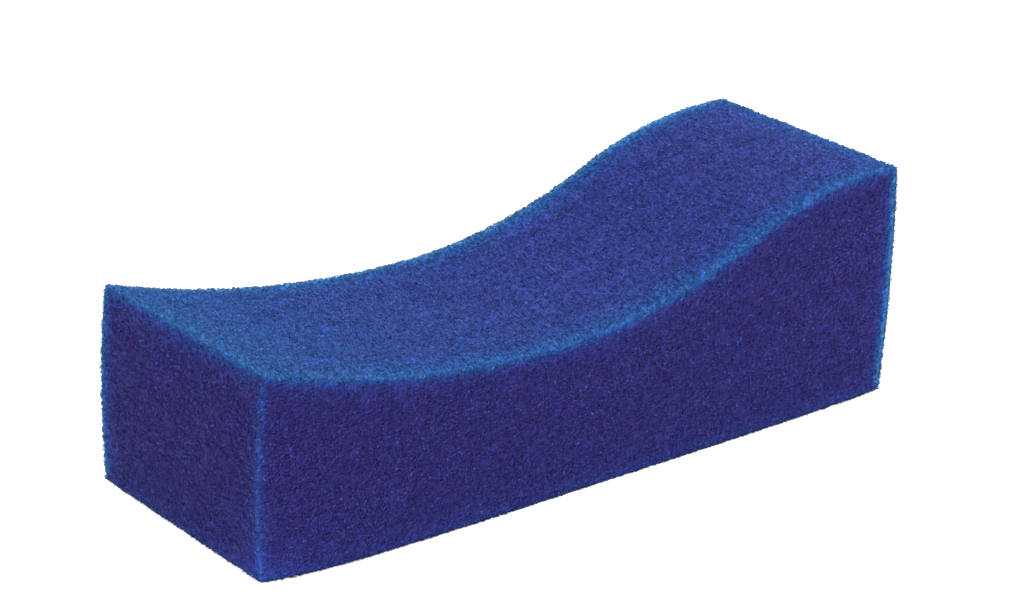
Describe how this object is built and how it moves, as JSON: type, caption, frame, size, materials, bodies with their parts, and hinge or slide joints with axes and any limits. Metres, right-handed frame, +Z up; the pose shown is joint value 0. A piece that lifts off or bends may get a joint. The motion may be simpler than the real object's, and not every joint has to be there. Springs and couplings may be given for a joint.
{
  "type": "filter sponge",
  "caption": "Straight block of coarse blue open-cell filter foam with a wave-cut top: a low end, a long shallow dish and a rounded crown at the high end.",
  "frame": {"origin": "middle of the flat underside's box, on the surface that the block stands on", "axes": "+X along the block from the low end to the high end, +Y across its width, +Z up from the flat underside to the wave-cut top"},
  "size_m": [0.35, 0.1186, 0.1126],
  "materials": {
    "foam": "matte open-cell polyurethane foam, deep blue, with a paler azure bloom along its cut edges"
  },
  "bodies": {
    "root": {"filter_foam": "foam"}
  },
  "joints": []
}
